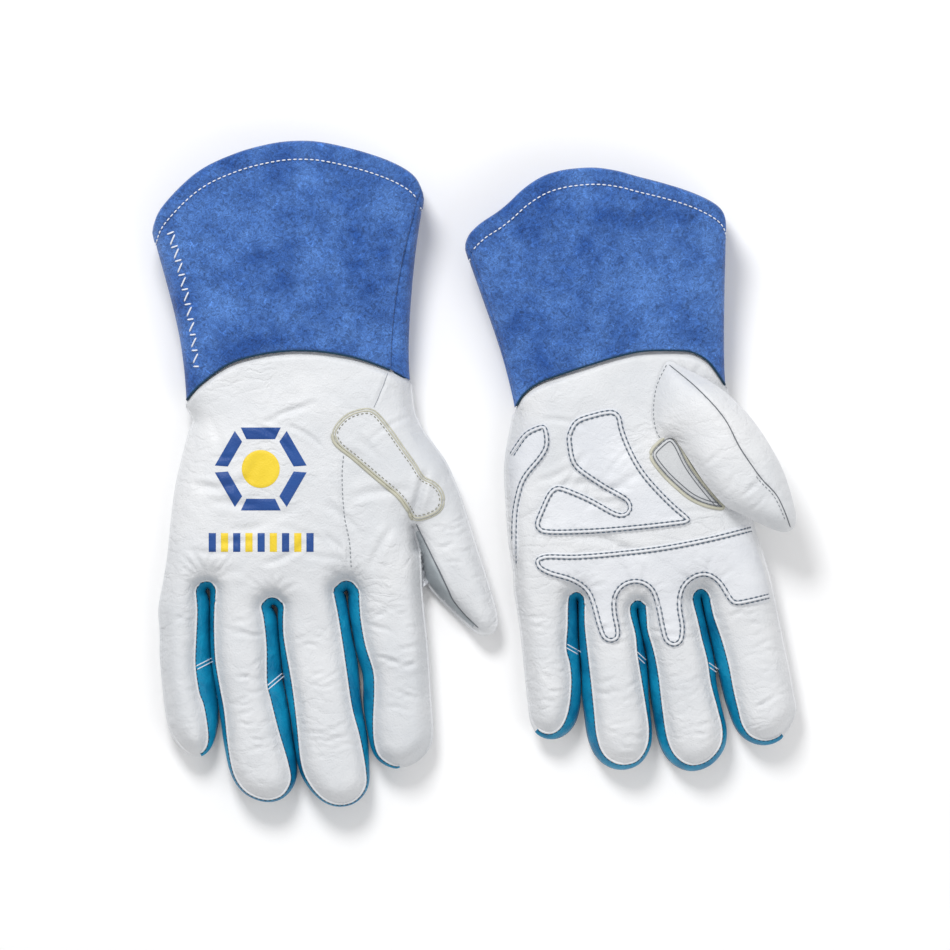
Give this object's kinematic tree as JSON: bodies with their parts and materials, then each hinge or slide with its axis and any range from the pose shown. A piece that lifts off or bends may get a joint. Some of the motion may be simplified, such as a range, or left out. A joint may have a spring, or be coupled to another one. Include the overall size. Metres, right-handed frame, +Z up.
{
  "type": "welding gloves",
  "caption": "Pair of gauntlet welding gloves lying flat, one back up and one palm up: white grain leather hands, teal finger sides and blue suede split cuffs, with flexing fingers and wrists.",
  "frame": {"origin": "middle of the pair's footprint, on the surface the gloves lie on", "axes": "+Z up from the surface, +Y from the fingertips towards the cuffs, +X from the right glove towards the left glove"},
  "size_m": [0.3226, 0.33, 0.0474],
  "materials": {
    "white_leather": "smooth full-grain leather, off-white",
    "palm_pad_leather": "stitched grain leather overlay, off-white",
    "teal_leather": "smooth dyed leather, teal blue",
    "blue_suede": "napped split suede, mottled blue",
    "cream_welt": "rolled welt strip, cream"
  },
  "bodies": {
    "right_little": {"right_little_fourchette": "teal_leather", "right_little_back_leather": "white_leather", "right_little_palm_leather": "white_leather"},
    "right_ring": {"right_ring_fourchette_little_side": "teal_leather", "right_ring_fourchette_middle_side": "teal_leather", "right_ring_back_leather": "white_leather", "right_ring_palm_leather": "white_leather"},
    "right_middle": {"right_middle_fourchette_ring_side": "teal_leather", "right_middle_fourchette_index_side": "teal_leather", "right_middle_back_leather": "white_leather", "right_middle_palm_leather": "white_leather"},
    "right_index": {"right_index_fourchette": "teal_leather", "right_index_back_leather": "white_leather", "right_index_palm_leather": "white_leather"},
    "right_thumb": {"right_thumb_back_leather": "white_leather", "right_thumb_palm_leather": "white_leather"},
    "right_cuff": {"right_cuff_back_panel": "blue_suede", "right_cuff_palm_panel": "blue_suede"},
    "right_hand": {"right_crotch_gusset_little_ring": "teal_leather", "right_crotch_gusset_ring_middle": "teal_leather", "right_crotch_gusset_middle_index": "teal_leather", "right_thumb_patch": "white_leather", "right_thumb_welt": "cream_welt", "right_back_panel": "white_leather", "right_palm_panel": "white_leather", "right_palm_pad_edge": "palm_pad_leather", "right_palm_pad_heel": "palm_pad_leather", "right_palm_pad_knuckle": "palm_pad_leather"},
    "left_little": {"left_little_fourchette": "teal_leather", "left_little_back_leather": "white_leather", "left_little_palm_leather": "white_leather"},
    "left_ring": {"left_ring_fourchette_little_side": "teal_leather", "left_ring_fourchette_middle_side": "teal_leather", "left_ring_back_leather": "white_leather", "left_ring_palm_leather": "white_leather"},
    "left_middle": {"left_middle_fourchette_ring_side": "teal_leather", "left_middle_fourchette_index_side": "teal_leather", "left_middle_back_leather": "white_leather", "left_middle_palm_leather": "white_leather"},
    "left_index": {"left_index_fourchette": "teal_leather", "left_index_back_leather": "white_leather", "left_index_palm_leather": "white_leather"},
    "left_thumb": {"left_thumb_back_leather": "white_leather", "left_thumb_palm_leather": "white_leather"},
    "left_cuff": {"left_cuff_back_panel": "blue_suede", "left_cuff_palm_panel": "blue_suede"},
    "left_hand": {"left_crotch_gusset_little_ring": "teal_leather", "left_crotch_gusset_ring_middle": "teal_leather", "left_crotch_gusset_middle_index": "teal_leather", "left_thumb_patch": "white_leather", "left_thumb_welt": "cream_welt", "left_back_panel": "white_leather", "left_palm_panel": "white_leather", "left_palm_pad_edge": "palm_pad_leather", "left_palm_pad_heel": "palm_pad_leather", "left_palm_pad_knuckle": "palm_pad_leather"}
  },
  "joints": [
    {"name": "gloves_apart", "type": "slide", "parent": "right_hand", "child": "left_hand", "axis": [1, 0, 0], "range_m": [0, 0.25]},
    {"name": "right_little_flex", "type": "hinge", "parent": "right_hand", "child": "right_little", "pos_m": [-0.14693, -0.06724, 0.0087], "axis": [0.9974, 0.0718, 0], "range_deg": [-10, 45]},
    {"name": "right_ring_flex", "type": "hinge", "parent": "right_hand", "child": "right_ring", "pos_m": [-0.11706, -0.0727, 0.0087], "axis": [0.994, 0.1093, 0], "range_deg": [-10, 45]},
    {"name": "right_middle_flex", "type": "hinge", "parent": "right_hand", "child": "right_middle", "pos_m": [-0.08175, -0.07266, 0.0087], "axis": [0.9901, 0.1403, 0], "range_deg": [-10, 45]},
    {"name": "right_index_flex", "type": "hinge", "parent": "right_hand", "child": "right_index", "pos_m": [-0.04303, -0.06774, 0.0087], "axis": [0.9981, 0.0624, 0], "range_deg": [-10, 45]},
    {"name": "right_thumb_flex", "type": "hinge", "parent": "right_hand", "child": "right_thumb", "pos_m": [-0.01482, -0.02481, 0.0087], "axis": [0.9493, 0.3144, 0], "range_deg": [0, 35]},
    {"name": "right_wrist_bend", "type": "hinge", "parent": "right_hand", "child": "right_cuff", "pos_m": [-0.09065, 0.04974, 0.014], "axis": [1, 0, 0], "range_deg": [-18, 18]},
    {"name": "left_little_flex", "type": "hinge", "parent": "left_hand", "child": "left_little", "pos_m": [0.03487, -0.07275, 0.017], "axis": [-0.9986, -0.0523, 0], "range_deg": [-10, 45]},
    {"name": "left_ring_flex", "type": "hinge", "parent": "left_hand", "child": "left_ring", "pos_m": [0.06724, -0.07524, 0.017], "axis": [-0.9976, -0.0693, 0], "range_deg": [-10, 45]},
    {"name": "left_middle_flex", "type": "hinge", "parent": "left_hand", "child": "left_middle", "pos_m": [0.09992, -0.07517, 0.017], "axis": [-0.9905, -0.1375, 0], "range_deg": [-10, 45]},
    {"name": "left_index_flex", "type": "hinge", "parent": "left_hand", "child": "left_index", "pos_m": [0.13417, -0.0701, 0.017], "axis": [-0.9833, -0.1818, 0], "range_deg": [-10, 45]},
    {"name": "left_thumb_flex", "type": "hinge", "parent": "left_hand", "child": "left_thumb", "pos_m": [0.11278, 0.02024, 0.0404], "axis": [-0.729, -0.6845, 0], "range_deg": [0, 35]},
    {"name": "left_wrist_bend", "type": "hinge", "parent": "left_hand", "child": "left_cuff", "pos_m": [0.07235, 0.04974, 0.014], "axis": [1, 0, 0], "range_deg": [-18, 18]}
  ]
}
